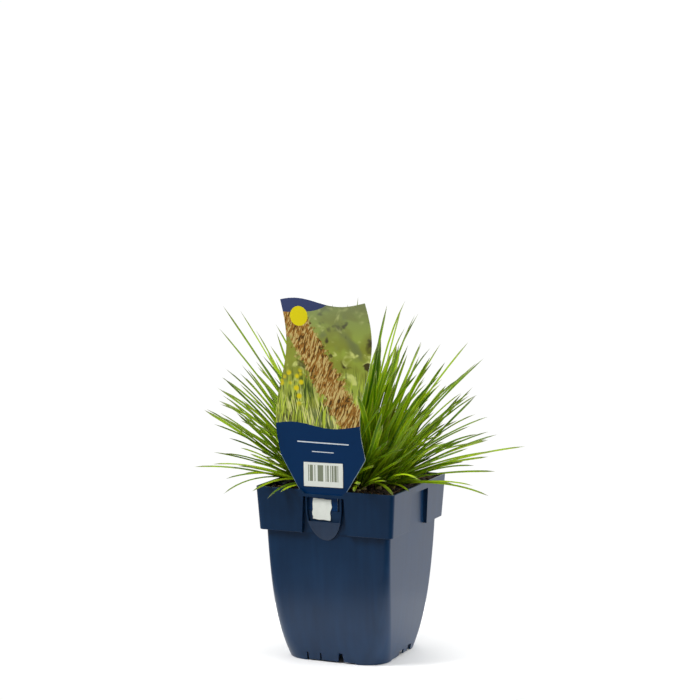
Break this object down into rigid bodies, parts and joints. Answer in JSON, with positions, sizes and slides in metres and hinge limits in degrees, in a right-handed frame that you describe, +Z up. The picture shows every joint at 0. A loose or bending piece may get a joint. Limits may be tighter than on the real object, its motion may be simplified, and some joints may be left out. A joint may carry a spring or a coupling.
{
  "type": "potted tufted hair grass",
  "caption": "Tuft of narrow arching grass blades growing in a square moulded nursery pot full of soil, with a die-cut plant label held in a pocket in the pot's collar.",
  "frame": {"origin": "on the surface that the pot stands on, under the centre of the pot, which is also the middle of the whole object's box", "axes": "+Z up, -Y the side with the plant label, +X to the right of someone who faces the label"},
  "size_m": [0.2809, 0.2111, 0.3445],
  "materials": {
    "pot_plastic": "navy-blue injection-moulded polypropylene, satin",
    "peat_soil": "dark crumbly peat with fibres",
    "label_plastic": "thin printed polystyrene sheet",
    "sticker_paper": "white coated paper",
    "grass_leaf": "living leaf, ribbed and slightly glossy"
  },
  "bodies": {
    "root": {"pot": "pot_plastic", "potting_soil": "peat_soil", "plant_label": "label_plastic", "price_sticker": "sticker_paper", "passport_sticker": "sticker_paper", "tiller_01": "grass_leaf", "tiller_02": "grass_leaf", "tiller_03": "grass_leaf", "tiller_04": "grass_leaf", "tiller_05": "grass_leaf", "tiller_06": "grass_leaf", "tiller_07": "grass_leaf", "tiller_08": "grass_leaf", "tiller_09": "grass_leaf", "tiller_10": "grass_leaf", "tiller_11": "grass_leaf", "tiller_12": "grass_leaf", "tiller_13": "grass_leaf", "tiller_14": "grass_leaf", "tiller_15": "grass_leaf", "tiller_16": "grass_leaf", "tiller_17": "grass_leaf", "tiller_18": "grass_leaf", "tiller_19": "grass_leaf", "tiller_20": "grass_leaf", "tiller_21": "grass_leaf", "tiller_22": "grass_leaf", "tiller_23": "grass_leaf", "tiller_24": "grass_leaf", "tiller_25": "grass_leaf", "tiller_26": "grass_leaf", "tiller_27": "grass_leaf", "tiller_28": "grass_leaf", "tiller_29": "grass_leaf", "tiller_30": "grass_leaf", "tiller_31": "grass_leaf", "tiller_32": "grass_leaf", "tiller_33": "grass_leaf", "tiller_34": "grass_leaf", "tiller_35": "grass_leaf", "tiller_36": "grass_leaf"}
  },
  "joints": []
}
